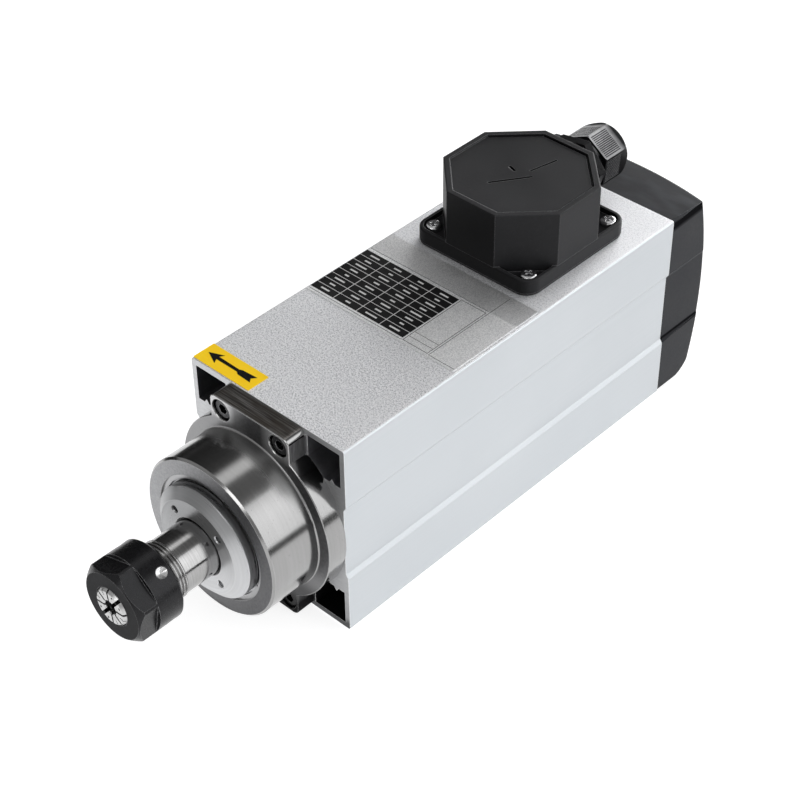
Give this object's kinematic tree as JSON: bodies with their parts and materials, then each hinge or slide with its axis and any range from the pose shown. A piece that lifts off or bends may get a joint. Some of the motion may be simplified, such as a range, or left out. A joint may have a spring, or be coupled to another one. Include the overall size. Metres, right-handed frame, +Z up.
{
  "type": "motor spindle",
  "caption": "Air-cooled motor spindle: square extruded body, round ground nose with hex collet nut, terminal box with cable gland on top, domed rear cowl.",
  "frame": {"origin": "middle of the footprint at the level of the body's bottom face", "axes": "+Z up, +Y along the spindle axis toward the rear cowl with the collet facing -Y, +X to the right when the nose is seen from the front"},
  "size_m": [0.082, 0.313, 0.125],
  "materials": {
    "extruded_aluminium": "fine blasted, satin",
    "lamination_steel": "stacked sheet, satin",
    "copper_winding": "varnished copper wire",
    "ground_steel": "turned and ground, bright",
    "screw_steel": "dark oxide, satin",
    "bearing_steel": "polished",
    "cage_plastic": "matt",
    "turned_aluminium": "fine turned, satin",
    "spring_steel": "satin",
    "shaft_steel": "turned, bright",
    "cage_aluminium": "cast, satin",
    "collet_steel": "ground, bright",
    "black_oxide": "black oxide, oiled satin",
    "fan_plastic": "matt",
    "cowl_plastic": "fine texture, matt",
    "gasket_rubber": "matt",
    "box_plastic": "fine texture, matt",
    "bright_screw": "plated, bright",
    "block_plastic": "matt",
    "brass_parts": "bright",
    "lead_jacket": "silicone, satin",
    "gland_nylon": "satin",
    "label_yellow": "printed film",
    "label_black": "printed film"
  },
  "bodies": {
    "housing": {"motor_body": "extruded_aluminium", "stator_core": "lamination_steel", "stator_windings": "copper_winding", "front_flange": "ground_steel", "front_flange_screws": "screw_steel", "front_bearing_outer_rings": "bearing_steel", "front_outer_spacer": "shaft_steel", "front_seal_ring": "turned_aluminium", "retaining_clip": "spring_steel", "rear_end_shield": "cage_aluminium", "rear_bearing_outer_ring": "bearing_steel", "rear_wave_spring": "spring_steel", "rear_cowl": "cowl_plastic", "rear_cowl_screws": "screw_steel", "terminal_gasket": "gasket_rubber", "terminal_cover": "box_plastic", "terminal_cover_screws": "bright_screw", "terminal_block": "block_plastic", "terminal_studs": "brass_parts", "terminal_nuts": "brass_parts", "terminal_block_screws": "bright_screw", "earth_screw": "brass_parts", "motor_leads": "lead_jacket", "gland_washer": "gasket_rubber", "gland_body": "gland_nylon", "gland_locknut": "gland_nylon", "gland_seal": "gasket_rubber", "gland_nut": "gland_nylon", "arrow_label": "label_yellow", "data_plate": "label_black"},
    "rotor": {"rotor_shaft": "shaft_steel", "rotor_core": "lamination_steel", "rotor_cage": "cage_aluminium", "dust_cap": "turned_aluminium", "front_bearing_inner_rings": "bearing_steel", "front_inner_spacer": "shaft_steel", "rear_bearing_inner_ring": "bearing_steel", "rear_lock_nut": "black_oxide", "cooling_fan": "fan_plastic", "fan_washer": "screw_steel", "fan_screw": "screw_steel"},
    "collet": {"collet": "collet_steel"},
    "collet_nut": {"collet_nut": "black_oxide", "extraction_ring": "spring_steel"},
    "front_ball_set": {"front_bearing_balls": "bearing_steel", "front_bearing_cages": "cage_plastic"},
    "rear_ball_set": {"rear_bearing_balls": "bearing_steel", "rear_bearing_cage": "cage_plastic"}
  },
  "joints": [
    {"name": "spindle_spin", "type": "hinge", "parent": "housing", "child": "rotor", "pos_m": [0, -0.0745, 0.0465], "axis": [0, -1, 0], "continuous": true},
    {"name": "front_balls_orbit", "type": "hinge", "parent": "housing", "child": "front_ball_set", "pos_m": [0, -0.088, 0.0465], "axis": [0, -1, 0], "continuous": true},
    {"name": "rear_balls_orbit", "type": "hinge", "parent": "housing", "child": "rear_ball_set", "pos_m": [0, 0.119, 0.0465], "axis": [0, -1, 0], "continuous": true},
    {"name": "collet_travel", "type": "slide", "parent": "rotor", "child": "collet", "axis": [0, -1, 0], "range_m": [0, 0.0075]},
    {"name": "nut_turn", "type": "hinge", "parent": "collet", "child": "collet_nut", "pos_m": [0, -0.1445, 0.0465], "axis": [0, -1, 0], "range_deg": [0, 1800]}
  ],
  "couplings": [
    {"joint": "front_balls_orbit", "follows": "spindle_spin", "ratio": 0.4074},
    {"joint": "rear_balls_orbit", "follows": "spindle_spin", "ratio": 0.4},
    {"joint": "nut_turn", "follows": "collet_travel", "rad_per_m": 4188.8}
  ]
}
